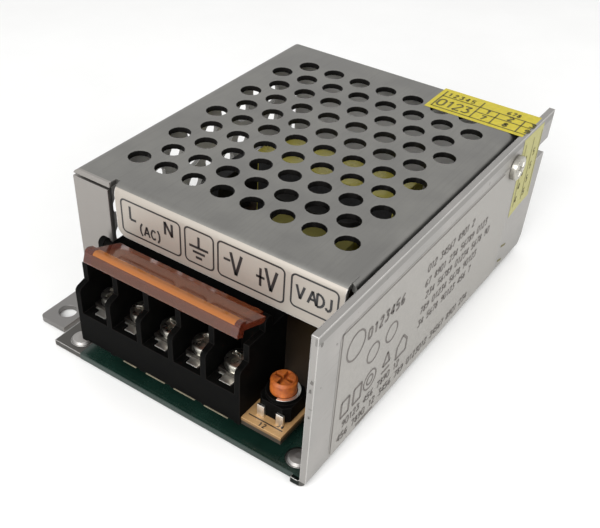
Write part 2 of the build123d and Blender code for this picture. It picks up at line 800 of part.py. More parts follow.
def make_transformer_core():
    # Two E halves that meet at the middle height; the coil sits on the centre leg.
    w, h, d = core_width / 2, core_height, core_depth
    window = w - core_leg
    centre = core_leg
    halves = []
    for low in (True, False):
        half = block(core_centre - w, core_centre + w, core_middle - d / 2, core_middle + d / 2,
                     core_base, core_base + h / 2)
        half -= block(core_centre - window, core_centre + window, core_middle - d, core_middle + d,
                      core_base + core_yoke, core_base + h)
        half += block(core_centre - centre, core_centre + centre, core_middle - d / 2,
                      core_middle + d / 2, core_base, core_base + h / 2)
        halves.append(half if low else Pos(0, 0, core_base * 2 + h) * mirror(half, Plane.XY))
    return halves


def bobbin_outline(grow):
    # The coil's outline round the centre leg, seen from above.
    half_x = core_leg + bobbin_build + grow
    half_y = core_depth / 2 + bobbin_build + grow
    return Pos(core_centre, core_middle) * RectangleRounded(half_x * 2, half_y * 2, bobbin_corner)


def leg_opening(grow):
    return Pos(core_centre, core_middle) * Rectangle(core_leg * 2 + grow * 2, core_depth + grow * 2)


def make_bobbin():
    # A moulded former: two flanges on a tube, with legs down to the board.
    z0 = core_base + core_yoke + bobbin_gap
    z1 = core_base + core_height - core_yoke - bobbin_gap
    tube = leg_opening(bobbin_gap + bobbin_wall) - leg_opening(bobbin_gap)
    flange = bobbin_outline(0) - leg_opening(bobbin_gap)
    former = extrude(Plane.XY.offset(z0) * tube, z1 - z0)
    former += extrude(Plane.XY.offset(z0) * flange, bobbin_flange)
    former += extrude(Plane.XY.offset(z1 - bobbin_flange) * flange, bobbin_flange)
    for side in (-1, 1):
        y = core_middle + side * (core_depth + bobbin_build) / 2
        reach = core_leg + bobbin_build - bobbin_corner
        former += block(core_centre - reach, core_centre + reach, y - bobbin_leg_width / 2,
                        y + bobbin_leg_width / 2, board_top + solder_gap, z0 + bobbin_flange)
    return former


def make_winding():
    # Copper under yellow tape, wound to just inside the flanges.
    z0 = core_base + core_yoke + bobbin_gap + bobbin_flange
    z1 = core_base + core_height - core_yoke - bobbin_gap - bobbin_flange
    ring = bobbin_outline(-winding_inset) - leg_opening(bobbin_gap + bobbin_wall)
    return extrude(Plane.XY.offset(z0) * ring, z1 - z0)


def make_core_tape():
    # Yellow tape round the core holds its halves together.
    w, h, d = core_width / 2, core_height, core_depth
    outer = block(core_centre - w - tape_thickness, core_centre + w + tape_thickness, core_middle - d / 2,
                  core_middle + d / 2, core_base - tape_thickness, core_base + h + tape_thickness)
    return outer - block(core_centre - w, core_centre + w, core_middle - d, core_middle + d, core_base,
                         core_base + h)


def make_bridge():
    # A flat moulded rectifier standing on four leads, beside the transformer.
    x = parts_left + bridge_thickness / 2
    y0 = core_middle - bridge_length / 2
    z0 = board_top + part_lift
    body = block(parts_left, parts_left + bridge_thickness, y0, y0 + bridge_length, z0, z0 + bridge_height)
    upper_corner = body.edges().filter_by(Axis.X).group_by(Axis.Z)[-1].sort_by(Axis.Y)[0]
    body = chamfer(upper_corner, bridge_corner)
    for i in range(4):
        body += lead(x, y0 + bridge_length * (i + 0.5) / 4, board_top, z0)
    return body


def make_safety_capacitor():
    return upright_disc(disc_x, disc_y, disc_radius, disc_thickness, 90)


def make_rear_choke():
    # A wire-wound drum core.
    r, h, w = rear_choke_radius, rear_choke_height, rear_choke_waist
    profile = [(0, 0), (r, 0), (r, w), (r - w, w), (r - w, h - w), (r, h - w), (r, h), (0, h)]
    return Pos(rear_choke_x, rear_row_middle, board_top) * turned(profile)


def make_rear_choke_winding():
    r, h, w = rear_choke_radius, rear_choke_height, rear_choke_waist
    coil = Cylinder(r - rear_choke_wire_gap, h - w * 2) - Cylinder(r - w, h)
    return Pos(rear_choke_x, rear_row_middle, board_top + h / 2) * coil


def pinned_chip(x, y, length, pins):
    # A moulded package on two rows of pins.
    z0 = board_top + chip_lift
    body = block(x - length / 2, x + length / 2, y - chip_width / 2, y + chip_width / 2, z0, z0 + chip_height)
    for i in range(pins):
        px = x - length / 2 + length * (i + 0.5) / pins
        for side in (-1, 1):
            near = y + side * chip_width / 2
            far = near + side * chip_pin_thickness
            body += block(px - chip_pin_width / 2, px + chip_pin_width / 2, min(near, far), max(near, far),
                          board_top, z0 + chip_height / 2)
    return body


small_cap_x = parts_left + left_tab_width / 2 + part_gap + small_cap_radius
chip_x = small_cap_x + small_cap_radius + part_gap + chip_length / 2
coupler_x = chip_x + chip_length / 2 + part_gap + coupler_length / 2


def make_resistors():
    # Resistors standing side by side, each with one lead folded back down behind it.
    z0 = board_top + chip_lift
    top = z0 + resistor_length
    back = last_row_middle + resistor_radius + lead_radius * 2
    parts = []
    for i in range(resistor_count):
        x = chip_x + i * (resistor_radius * 2 + part_gap / 2)
        body = post(x, last_row_middle, z0, top, resistor_radius)
        body += lead(x, last_row_middle, board_top, z0)
        body += lead(x, last_row_middle, top, top + lead_radius * 2)
        body += block(x - lead_radius, x + lead_radius, last_row_middle, back + lead_radius * 2, top,
                      top + lead_radius * 2)
        body += block(x - lead_radius, x + lead_radius, back, back + lead_radius * 2, board_top, top)
        parts.append(body)
    return parts


def make_power_package(y):
    # A moulded three-lead package with its metal tab against the right wall.
    half = package_width / 2
    body = block(package_left, package_back, y - half, y + half, package_base, package_base + package_height)
    body += block(package_back - package_tab, package_back, y - half, y + half, package_base, package_top)
    body -= across(package_left, package_back + 1, y, package_tab_z, package_screw_shank + case_screw_clear)
    middle = (package_left + package_back) / 2
    for i in (-1, 0, 1):
        lead_y = y + i * package_lead_step
        body += block(middle, middle + package_lead_thickness, lead_y - package_lead_width / 2,
                      lead_y + package_lead_width / 2, board_top, package_base)
    return body


def make_package_pad(y):
    # A thin insulating pad between the tab and the wall.
    half = package_width / 2 + pad_margin / 2
    pad = block(package_back, wall_inside, y - half, y + half, package_base - pad_margin, package_top)
    return pad - across(package_left, wall_inside + 1, y, package_tab_z, package_screw_shank + case_screw_clear)


def make_package_screw(y):
    # Each screw's end is flush with the outside of the wall.
    z = package_tab_z
    seat = package_back - package_tab
    return (across(seat - package_screw_head_height, seat, y, z, package_screw_head)
            + across(seat, case_width, y, z, package_screw_shank))


def build():
    os.makedirs("parts", exist_ok=True)
    save("chassis", make_chassis())
    save("perforated_cover", make_cover())
    save("case_screws", *make_case_screws())
    save("circuit_board", make_board())
    save("board_standoffs", *make_standoffs())
    save("board_screws", *make_board_screws())
    save("insulating_film", make_insulating_film())
    save("terminal_block", make_terminal_block())
    save("terminal_contacts", *make_contacts())
    for number, x in enumerate(way_centres, start=1):
        save(f"terminal_screw_{number}", make_terminal_screw(x))
        save(f"clamp_plate_{number}", make_clamp_plate(x))
    save("terminal_cover", make_terminal_cover())
    save("trimmer_body", make_trimmer_body())
    save("trimmer_legs", *make_trimmer_legs())
    save("trimmer_rotor", make_trimmer_rotor())
    save("fuse_tube", make_fuse())
    save("fuse_caps", *make_fuse_caps())
    save("inrush_thermistor", make_thermistor())
    save("input_choke_core", make_choke_core())
    save("input_choke_windings", *make_choke_windings())
    save("bulk_capacitor", make_bulk_capacitor())
    save("film_capacitor", make_film_capacitor())
    save("output_capacitors", *make_output_capacitors())
    save("transformer_core", *make_transformer_core())
    save("transformer_bobbin", make_bobbin())
    save("transformer_winding", make_winding())
    save("core_tape", make_core_tape())
    save("bridge_rectifier", make_bridge())
    save("safety_capacitor", make_safety_capacitor())
    save("output_choke_core", make_rear_choke())
    save("output_choke_winding", make_rear_choke_winding())
    save("control_chip", pinned_chip(chip_x, rear_row_middle, chip_length, 4))
    save("optocoupler", pinned_chip(coupler_x, rear_row_middle, coupler_length, 2))
    small_capacitor = can(small_cap_radius, small_cap_height)
    save("small_capacitor", Pos(small_cap_x, rear_row_middle, board_top) * small_capacitor)
    save("resistors", *make_resistors())
    for name, y in zip(("switching_transistor", "output_rectifier"), package_places):
        save(name, make_power_package(y))
    save("package_pads", *[make_package_pad(y) for y in package_places])
    save("package_screws", *[make_package_screw(y) for y in package_places])


build()
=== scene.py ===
import bpy
import math

import bmesh
from mathutils import Matrix, Vector


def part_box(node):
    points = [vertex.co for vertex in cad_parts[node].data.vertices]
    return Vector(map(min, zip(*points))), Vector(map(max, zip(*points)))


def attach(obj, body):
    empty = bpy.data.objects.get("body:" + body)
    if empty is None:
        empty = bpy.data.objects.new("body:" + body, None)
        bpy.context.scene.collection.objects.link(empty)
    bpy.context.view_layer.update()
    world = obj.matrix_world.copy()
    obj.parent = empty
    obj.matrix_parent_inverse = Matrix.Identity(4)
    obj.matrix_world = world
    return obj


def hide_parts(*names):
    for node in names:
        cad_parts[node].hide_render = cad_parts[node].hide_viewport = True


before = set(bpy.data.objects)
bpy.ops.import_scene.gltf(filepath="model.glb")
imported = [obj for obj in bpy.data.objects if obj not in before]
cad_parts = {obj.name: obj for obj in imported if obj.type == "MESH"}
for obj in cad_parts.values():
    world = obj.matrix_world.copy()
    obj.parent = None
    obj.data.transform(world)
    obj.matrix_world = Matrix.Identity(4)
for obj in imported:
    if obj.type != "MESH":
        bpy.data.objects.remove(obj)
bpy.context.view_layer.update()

# All lengths in this script are millimetres until point() or MM turns them to metres.
# Places are measured from the outside of the cover's left wall, the chassis's front
# and its underside.
MM = 0.001
X, Y, Z = 0, 1, 2
CASE_WIDTH, CASE_HEIGHT, LIP_FRONT = 58.1, 32.6, 11.7
FRONT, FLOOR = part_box("chassis")[0][1:]
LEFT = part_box("chassis")[1][0] - CASE_WIDTH * MM
BASE_TOP, BOARD_TOP = 1.35, 5.0
HINGE_Y, HINGE_Z, LID_TILT = 10.2, 21.0, 20.6
TERMINAL_Y, TERMINAL_SEAT = 8.1, 10.8
# How far print lies off a piece, and how far it lies off when a label is below it.
LIFT = 0.03
OVER_LABEL = LIFT * 2.4


def point(x, y, z):
    return Vector((LEFT + x * MM, FRONT + y * MM, FLOOR + z * MM))


def span(node):
    # A node's box in the case's own millimetres.
    low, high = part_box(node)
    return [[(low[i] - (LEFT, FRONT, FLOOR)[i]) / MM for i in range(3)],
            [(high[i] - (LEFT, FRONT, FLOOR)[i]) / MM for i in range(3)]]


# Shader nodes

def linear(hex_value):
    # An sRGB hex colour as the linear colour that shaders take.
    parts = [int(hex_value[i:i + 2], 16) / 255 for i in (1, 3, 5)]
    return tuple(c / 12.92 if c <= 0.04045 else ((c + 0.055) / 1.055) ** 2.4
                 for c in parts) + (1.0,)


def grey(value):
    return (value, value, value, 1)


def add(tree, kind, links=(), **settings):
    # One node: its settings by name, its socket values by index or name, and its links.
    node = tree.nodes.new(kind)
    for key, value in settings.items():
        if key == "values":
            for socket, given in value.items():
                node.inputs[socket].default_value = given
        else:
            setattr(node, key, value)
    for socket, source in links:
        tree.links.new(source, node.inputs[socket])
    return node


def new_material(name):
    material = bpy.data.materials.new(name)
    material.use_nodes = True
    tree = material.node_tree
    tree.nodes.clear()
    shader = tree.nodes.new("ShaderNodeBsdfPrincipled")
    output = tree.nodes.new("ShaderNodeOutputMaterial")
    tree.links.new(shader.outputs[0], output.inputs[0])
    place = tree.nodes.new("ShaderNodeTexCoord").outputs["Object"]
    return material, tree, shader, place


def noise(tree, place, grain, detail=4.0, rough=0.55, stretch=(1, 1, 1)):
    # Noise whose grain is a real size in millimetres; stretch makes it longer along an axis.
    mapped = add(tree, "ShaderNodeMapping", [("Vector", place)],
                 values={"Scale": tuple(1 / s for s in stretch)}).outputs[0]
    return add(tree, "ShaderNodeTexNoise", [("Vector", mapped)],
               values={"Scale": 1 / (grain * MM), "Detail": detail,
                       "Roughness": rough}).outputs[0]


def ramp(tree, factor, stops):
    # Each stop is a position from 0 to 1 and its colour.
    node = add(tree, "ShaderNodeValToRGB", [("Fac", factor)])
    elements = node.color_ramp.elements
    for number, (position, colour) in enumerate(stops):
        element = elements[number] if number < 2 else elements.new(position)
        element.position = position
        element.color = colour
    return node.outputs[0]


def bump(tree, shader, height, depth, strength=1.0, rounding=0.0):
    # depth is how tall the relief is, in millimetres; rounding softens sharp edges.
    node = add(tree, "ShaderNodeBump", [("Height", height)],
               values={"Strength": strength, "Distance": depth * MM})
    if rounding:
        edge = add(tree, "ShaderNodeBevel", samples=4, values={"Radius": rounding * MM})
        tree.links.new(edge.outputs[0], node.inputs["Normal"])
    tree.links.new(node.outputs[0], shader.inputs["Normal"])


def surface(name, low, high, roughness=(0.4, 0.5), grain=1.0, metallic=0.0, relief=0.01,
            stretch=(1, 1, 1), rounding=0.0, ior=1.5, coat=0.0, clear=0.0):
    # The common build of a finish: two close tones, a roughness range and a fine relief.
    material, tree, shader, place = new_material(name)
    cloud = noise(tree, place, grain, stretch=stretch)
    tone = ramp(tree, cloud, [(0.35, linear(low)), (0.65, linear(high))])
    tree.links.new(tone, shader.inputs["Base Color"])
    rough = ramp(tree, cloud, [(0.3, grey(roughness[0])), (0.7, grey(roughness[1]))])
    tree.links.new(rough, shader.inputs["Roughness"])
    shader.inputs["Metallic"].default_value = metallic
    if not metallic:
        shader.inputs["IOR"].default_value = ior
    shader.inputs["Coat Weight"].default_value = coat
    shader.inputs["Transmission Weight"].default_value = clear
    bump(tree, shader, noise(tree, place, grain * 0.4, stretch=stretch), relief, 0.6, rounding)
    return material, tree, shader, place


def mixed(tree, shader, mask, socket, value):
    # Where the mask is 1, a shader's colour or number is replaced by the value.
    target = shader.inputs[socket]
    node = tree.nodes.new("ShaderNodeMix")
    # The Mix node has its own sockets for two colours and for two numbers.
    if socket == "Base Color":
        node.data_type, first, second, result = "RGBA", 6, 7, 2
    else:
        node.data_type, first, second, result = "FLOAT", 2, 3, 0
    if target.is_linked:
        tree.links.new(target.links[0].from_socket, node.inputs[first])
    else:
        node.inputs[first].default_value = target.default_value
    node.inputs[second].default_value = value
    tree.links.new(mask, node.inputs[0])
    tree.links.new(node.outputs[result], target)


def tint(tree, shader, mask, hex_value):
    mixed(tree, shader, mask, "Base Color", linear(hex_value))


def metal_area(tree, shader, mask, hex_value):
    # Bare or tinned metal on a piece that is otherwise plastic.
    tint(tree, shader, mask, hex_value)
    mixed(tree, shader, mask, "Metallic", 1.0)


def patches(tree, source, start, end, strength):
    # 0 where the source is below start, rising to strength at end.
    return ramp(tree, source, [(start, grey(0)), (end, grey(strength))])


def compare(tree, value, operation, limit):
    return add(tree, "ShaderNodeMath", [(0, value)], operation=operation,
               values={1: limit}).outputs[0]


def both(tree, *masks):
    # 1 where every mask is 1.
    result = masks[0]
    for mask in masks[1:]:
        result = add(tree, "ShaderNodeMath", [(0, result), (1, mask)],
                     operation="MULTIPLY").outputs[0]
    return result


def axis_mask(tree, place, axis, low=None, high=None):
    # 1 where the object's own coordinate lies between low and high, in the case's millimetres.
    start = (LEFT, FRONT, FLOOR)[axis]
    value = add(tree, "ShaderNodeSeparateXYZ", [(0, place)]).outputs[axis]
    parts = []
    if low is not None:
        parts.append(compare(tree, value, "GREATER_THAN", start + low * MM))
    if high is not None:
        parts.append(compare(tree, value, "LESS_THAN", start + high * MM))
    return both(tree, *parts)


def edge_highlight_mask(tree, radius):
    # 1 along outside edges, where painted highlights go.
    soft = add(tree, "ShaderNodeBevel", samples=6, values={"Radius": radius * MM}).outputs[0]
    plain = add(tree, "ShaderNodeNewGeometry").outputs["Normal"]
    lean = add(tree, "ShaderNodeVectorMath", [(0, soft), (1, plain)],
               operation="DOT_PRODUCT").outputs["Value"]
    return ramp(tree, lean, [(0.9, grey(1)), (0.985, grey(0))])


def upright_mask(tree):
    # 1 on faces that stand upright.
    normal = add(tree, "ShaderNodeNewGeometry").outputs["Normal"]
    rise = add(tree, "ShaderNodeSeparateXYZ", [(0, normal)]).outputs[Z]
    size = add(tree, "ShaderNodeMath", [(0, rise)], operation="ABSOLUTE").outputs[0]
    return compare(tree, size, "LESS_THAN", 0.3)


# Sheet metal

def make_galvanised_sheet():
    # Zinc-plated steel sheet: mid grey, faint cloudy spangle and short rolling marks along Y.
    # The front is painted paler than the top, as painted light; the printed lip is paler still,
    # partly from its print and partly painted light, with painted highlights on its edges.
    material, tree, shader, place = surface("galvanised_sheet", "#7a7976", "#858480",
                                            (0.44, 0.54), 9.0, 1.0, 0.005, rounding=0.25)
    streaks = noise(tree, place, 0.5, detail=2.0, stretch=(1, 24, 1))
    tint(tree, shader, patches(tree, streaks, 0.5, 0.85, 0.3), "#6a6966")
    # Painted light: the front is painted paler than the top.
    front = axis_mask(tree, place, Y, high=LIP_FRONT + 0.5)
    tint(tree, shader, front, "#989490")
    # The lip: paler and warmer, partly its print, partly painted light and a painted warm
    # reflection.
    lip = both(tree, front, axis_mask(tree, place, X, low=9.3))
    tint(tree, shader, lip, "#a59e95")
    mixed(tree, shader, lip, "Metallic", 0.4)
    foot = axis_mask(tree, place, X, high=-0.4)
    tint(tree, shader, foot, "#848280")
    # The punched walls of the top's holes are painted dark: painted shade in the holes, over the
    # darker cut steel.
    hole_wall_shade = both(tree, upright_mask(tree), axis_mask(tree, place, Z, low=31.0),
                   axis_mask(tree, place, X, 3.0, 54.5), axis_mask(tree, place, Y, 14.5, 78.0))
    tint(tree, shader, hole_wall_shade, "#2b2a29")
    # Inside, the zinc is painted near white and not metallic, as painted light, so that it scatters
    # the light that the holes let in.
    inside_painted_light = both(tree, axis_mask(tree, place, X, 0.9, 55.0), axis_mask(tree, place, Y, 14.0, 79.2),
                  axis_mask(tree, place, Z, high=31.3))
    tint(tree, shader, inside_painted_light, "#e9e7e3")
    mixed(tree, shader, inside_painted_light, "Metallic", 0.0)
    smudge = noise(tree, place, 22.0, detail=3.0)
    mixed(tree, shader, patches(tree, smudge, 0.5, 0.75, 0.8), "Roughness", 0.6)
    # Painted highlights along the lip's edges.
    tint(tree, shader, both(tree, edge_highlight_mask(tree, 0.22), lip), "#e2e0dd")
    return material


def make_chassis_sheet():
    # Mill-finish aluminium: paler than the cover, long drawing lines, dull handling marks.
    material, tree, shader, place = surface("mill_aluminium", "#959390", "#a09d9a",
                                            (0.42, 0.5), 12.0, 1.0, 0.004, rounding=0.25)
    streaks = noise(tree, place, 0.35, detail=2.0, stretch=(1, 30, 1))
    tint(tree, shader, patches(tree, streaks, 0.55, 0.85, 0.3), "#7f7c79")
    # Painted shade: the base plate is painted darker than the walls, with a painted dark
    # reflection.
    base = axis_mask(tree, place, Z, high=BASE_TOP)
    tint(tree, shader, base, "#585653")
    # The base's front end beside the film is painted dark green like the film, as a painted
    # reflection of the film and board.
    corner = both(tree, axis_mask(tree, place, X, 50.0, 56.85), axis_mask(tree, place, Y, high=1.2),
                  base)
    tint(tree, shader, corner, "#1a211e")
    # The wall's upper strip that faces the cover is painted dark, as painted shade under the cover.
    cover_shade_strip = both(tree, axis_mask(tree, place, Z, low=28.0), axis_mask(tree, place, X, high=57.0))
    tint(tree, shader, cover_shade_strip, "#242322")
    # The wall's outside is a little darker along its upper edge.
    band = both(tree, axis_mask(tree, place, Z, 30.9, 32.2), axis_mask(tree, place, X, low=57.6))
    tint(tree, shader, band, "#858380")
    marks = noise(tree, place, 3.0, detail=6.0, rough=0.7)
    mixed(tree, shader, patches(tree, marks, 0.62, 0.7, 0.7), "Roughness", 0.6)
    spots = noise(tree, place, 1.1, detail=1.0)
    tint(tree, shader, patches(tree, spots, 0.74, 0.78, 0.6), "#6c6a68")
    # Painted highlights along the outside edges.
    tint(tree, shader, edge_highlight_mask(tree, 0.25), "#c9c7c4")
    return material


# Plastics, rubber and laminate

def make_black_moulding():
    # Glass-filled polyester moulding: near black, a fine matt skin, with painted highlights on its
    # edges.
    material, tree, shader, place = surface("black_moulding", "#060606", "#0b0b0a", (0.5, 0.62),
                                            2.5, relief=0.008, rounding=0.2, ior=1.1)
    dust = noise(tree, place, 0.5, detail=5.0, rough=0.7)
    tint(tree, shader, patches(tree, dust, 0.68, 0.8, 0.25), "#2c2927")
    # Painted highlights along the edges.
    tint(tree, shader, edge_highlight_mask(tree, 0.2), "#1f1d1c")
    return material


def make_phenolic():
    # Black phenolic former: duller than the terminal block.
    return surface("black_phenolic", "#141312", "#24211f", (0.5, 0.65), 1.5, relief=0.02,
                   rounding=0.1)[0]


def make_amber_plastic():
    # Tinted polycarbonate, moulded: clear brown over the dark block, deeper in its front wall
    # and at both ends, with a painted highlight of paler orange along the top of its front rib.
    material, tree, shader, place = surface("amber_polycarbonate", "#a65e3c", "#b56a42",
                                            (0.07, 0.14), 6.0, relief=0.006, rounding=0.2,
                                            ior=1.58, clear=0.72)
    # The lid's own level coordinates start at its hinge.
    local = add(tree, "ShaderNodeVectorMath", [(0, place)], operation="SUBTRACT",
                values={1: tuple(point(0, HINGE_Y, HINGE_Z))}).outputs[0]
    level = add(tree, "ShaderNodeMapping", [("Vector", local)],
                values={"Rotation": (math.radians(LID_TILT), 0, 0)}).outputs[0]
    split = add(tree, "ShaderNodeSeparateXYZ", [(0, level)])
    front = compare(tree, split.outputs[Y], "LESS_THAN", -6.85 * MM)
    upper = compare(tree, split.outputs[Z], "GREATER_THAN", 0.85 * MM)
    ends = add(tree, "ShaderNodeMath", [(1, axis_mask(tree, place, X, 12.6, 41.6))],
               operation="SUBTRACT", values={0: 1.0}).outputs[0]
    tint(tree, shader, front, "#8f4a22")
    mixed(tree, shader, front, "Transmission Weight", 0.82)
    mixed(tree, shader, front, "Specular IOR Level", 0.2)
    tint(tree, shader, ends, "#8c4630")
    # Painted highlight: paler, less clear orange along the top of the front rib.
    rib_highlight = both(tree, front, upper, axis_mask(tree, place, X, 12.6, 41.9))
    tint(tree, shader, rib_highlight, "#b06c33")
    mixed(tree, shader, rib_highlight, "Transmission Weight", 0.35)
    return material


def make_rotor_plastic():
    # Orange nylon with a dusty, matt top.
    return surface("orange_nylon", "#8a4014", "#b8621e", (0.45, 0.6), 1.2, relief=0.02,
                   rounding=0.15)[0]


def make_laminate():
    # Paper laminate: tan, with long pale fibres; its cut edges are darker, darkest towards the
    # bottom.
    material, tree, shader, place = surface("paper_laminate", "#a98356", "#bd9767", (0.42, 0.55),
                                            3.0, relief=0.01, stretch=(6, 1, 1))
    top = span("circuit_board")[1][Z]
    tint(tree, shader, axis_mask(tree, place, Z, high=top - 0.15), "#7a5d3a")
    tint(tree, shader, axis_mask(tree, place, Z, high=top - 0.7), "#2f261b")
    # Behind the trimmer the board is painted darker brown, as painted shade under the cover.
    tint(tree, shader, axis_mask(tree, place, Y, low=12.2), "#3d2e20")
    return material


def make_pad_rubber():
    # Grey silicone rubber, filled and matt.
    return surface("silicone_pad", "#6b7072", "#7d8284", (0.7, 0.8), 1.0, relief=0.02)[0]


def make_film():
    # Dark green insulating film, glossy, slightly wavy from being pressed over the base.
    material, tree, shader, place = surface("green_film", "#0e211b", "#152c25", (0.18, 0.3), 9.0,
                                            relief=0.03)
    rub = noise(tree, place, 4.0, detail=6.0, rough=0.7)
    mixed(tree, shader, patches(tree, rub, 0.55, 0.7, 0.6), "Roughness", 0.6)
    return material


def make_yellow_tape(name, low, high):
    # Yellow polyester tape in wraps: each edge shows as a faint line.
    material, tree, shader, place = surface(name, low, high, (0.22, 0.34), 4.0, relief=0.01,
                                            coat=0.2)
    wraps = add(tree, "ShaderNodeTexWave", [("Vector", place)], bands_direction="Z",
                values={"Scale": 1 / (12 * MM), "Distortion": 0.6, "Detail": 2.0}).outputs[0]
    tint(tree, shader, ramp(tree, wraps, [(0.0, grey(0.4)), (0.12, grey(0))]), "#938732")
    return material


def make_film_cap_plastic():
    # Yellow flame-retardant shell.
    return surface("yellow_shell", "#807935", "#938b42", (0.35, 0.45), 5.0, relief=0.008,
                   rounding=0.3)[0]


def make_ferrite():
    # Sintered ferrite: dark grey, dry, with pits.
    return surface("ferrite", "#2a2a2b", "#3a3a3b", (0.6, 0.75), 0.6, relief=0.03,
                   rounding=0.15)[0]


def make_epoxy(name, low, high):
    # Dipped epoxy: glossy with small runs.
    return surface(name, low, high, (0.2, 0.32), 2.0, relief=0.04, coat=0.3)[0]


def make_enamelled_copper():
    # Copper wire under clear enamel, in turns 0.7 mm apart.
    turn_pitch, wave_period = 0.7, 6.3
    material, tree, shader, place = surface("enamelled_copper", "#9c4a1e", "#c46a30", (0.2, 0.3),
                                            1.0, 0.9, relief=0.01)
    turns = add(tree, "ShaderNodeTexWave", [("Vector", place)], bands_direction="Z",
                values={"Scale": 1 / (turn_pitch * wave_period * MM),
                        "Distortion": 0.3}).outputs[0]
    bump(tree, shader, turns, 0.25, 1.0)
    tint(tree, shader, ramp(tree, turns, [(0.0, grey(0.9)), (0.35, grey(0))]), "#4a1f0c")
    return material


def make_glass():
    # The fuse's clear glass tube.
    return surface("fuse_glass", "#eef2f0", "#f8faf9", (0.03, 0.06), 3.0, relief=0.001,
                   clear=1.0)[0]


def make_can_sleeve(name, low, high, node, stripe, along=Z):
    # A shrunk vinyl sleeve with a pale stripe down one side, and a bare aluminium end.
    material, tree, shader, place = surface(name, low, high, (0.25, 0.36), 3.0, relief=0.01,
                                            coat=0.25)
    tint(tree, shader, axis_mask(tree, place, *stripe), "#a9aab0")
    end = span(node)[1][along] - 0.7
    metal_area(tree, shader, axis_mask(tree, place, along, low=end), "#9a9b9c")
    return material


def make_chip(name, node):
    # A moulded epoxy package with tinned pins below it.
    material, tree, shader, place = surface(name, "#161617", "#222223", (0.45, 0.55), 0.8,
                                            relief=0.01, rounding=0.1)
    bottom = span(node)[0][Z]
    metal_area(tree, shader, axis_mask(tree, place, Z, high=bottom + 0.75), "#b8b6ae")
    return material


def make_power_package(name, node):
    # Black epoxy, with a plated copper tab above it and leads below it.
    material, tree, shader, place = surface(name, "#151516", "#212122", (0.4, 0.5), 0.8,
                                            relief=0.01, rounding=0.1)
    box = span(node)
    metal_area(tree, shader, axis_mask(tree, place, Z, low=box[1][Z] - 6.1), "#aeada6")
    metal_area(tree, shader, axis_mask(tree, place, Z, high=box[0][Z] + 2.95), "#b3b0a6")
    return material


def make_resistor_coating():
    # Carbon film resistors: tan lacquer with brown and gold bands, and tinned leads.
    material, tree, shader, place = surface("resistor_lacquer", "#b79a6c", "#c9ad80",
                                            (0.35, 0.45), 0.8, relief=0.01)
    box = span("resistors")
    foot, band = box[0][Z], 0.45
    for low, colour in ((1.8, "#5a2f17"), (2.7, "#1c1b1b"), (3.6, "#a3441f"), (4.7, "#a58a3b")):
        tint(tree, shader, axis_mask(tree, place, Z, foot + low, foot + low + band), colour)
    metal_area(tree, shader, axis_mask(tree, place, Z, low=box[1][Z] - 0.72), "#b8b6ae")
    return material


# Plated metals

def make_plated(name, low, high, roughness=(0.2, 0.34)):
    # Bright plating over a stamped or turned part, dulled in patches.
    return surface(name, low, high, roughness, 0.8, 1.0, 0.002, rounding=0.12)[0]


# Printed matter

def make_print(name, low, high, roughness=(0.45, 0.55)):
    # Ink or a printed film, nearly even.
    return surface(name, low, high, roughness, 0.8, relief=0.004)[0]


def make_sticker_paper():
    # Yellow paper, duller and greyer where it is folded down over the wall.
    material, tree, shader, place = surface("yellow_paper", "#b2a31d", "#c0b12c", (0.5, 0.62),
                                            0.8, relief=0.004)
    fibres = noise(tree, place, 1.6, detail=6.0)
    tint(tree, shader, axis_mask(tree, place, X, low=CASE_WIDTH - 0.02), "#98945c")
    tint(tree, shader, patches(tree, fibres, 0.6, 0.8, 0.4), "#a69a3a")
    return material


galvanised = make_galvanised_sheet()
chassis_metal = make_chassis_sheet()
black_moulding = make_black_moulding()
phenolic = make_phenolic()
amber = make_amber_plastic()
rotor_plastic = make_rotor_plastic()
laminate = make_laminate()
pad_rubber = make_pad_rubber()
film = make_film()
tape = make_yellow_tape("polyester_tape", "#c9bd52", "#dcd167")
winding_tape = make_yellow_tape("winding_tape", "#b8a93c", "#c9bb4e")
film_cap_plastic = make_film_cap_plastic()
ferrite = make_ferrite()
copper = make_enamelled_copper()
glass = make_glass()
nickel = make_plated("nickel_plate", "#b0ada5", "#c2bfb6")
screw_steel = make_plated("zinc_screw", "#9b9890", "#b6b3aa", (0.24, 0.38))
bright_tin = make_plated("bright_tin", "#eceae4", "#f8f6f0", (0.3, 0.4))
# Painted shade: the clamp plates' zinc is painted near black, for shade and dark reflections inside
# the block.
shaded_clamp_zinc = make_plated("shaded_zinc", "#3b3936", "#55524d", (0.35, 0.5))
black_print = make_print("black_print", "#1b1a1b", "#242324", (0.4, 0.5))
grey_print = make_print("grey_print", "#4b4541", "#5a544f")
silver_label = make_print("silver_polyester_label", "#7f7c77", "#888580", (0.4, 0.52))
yellow_paper = make_sticker_paper()
olive_print = make_print("olive_print", "#4d4711", "#5f5818", (0.5, 0.6))
knocked_metal = make_print("dull_knocks", "#4b4845", "#5d5a56")
board_edge = make_print("board_edge", "#6f6857", "#857d69")

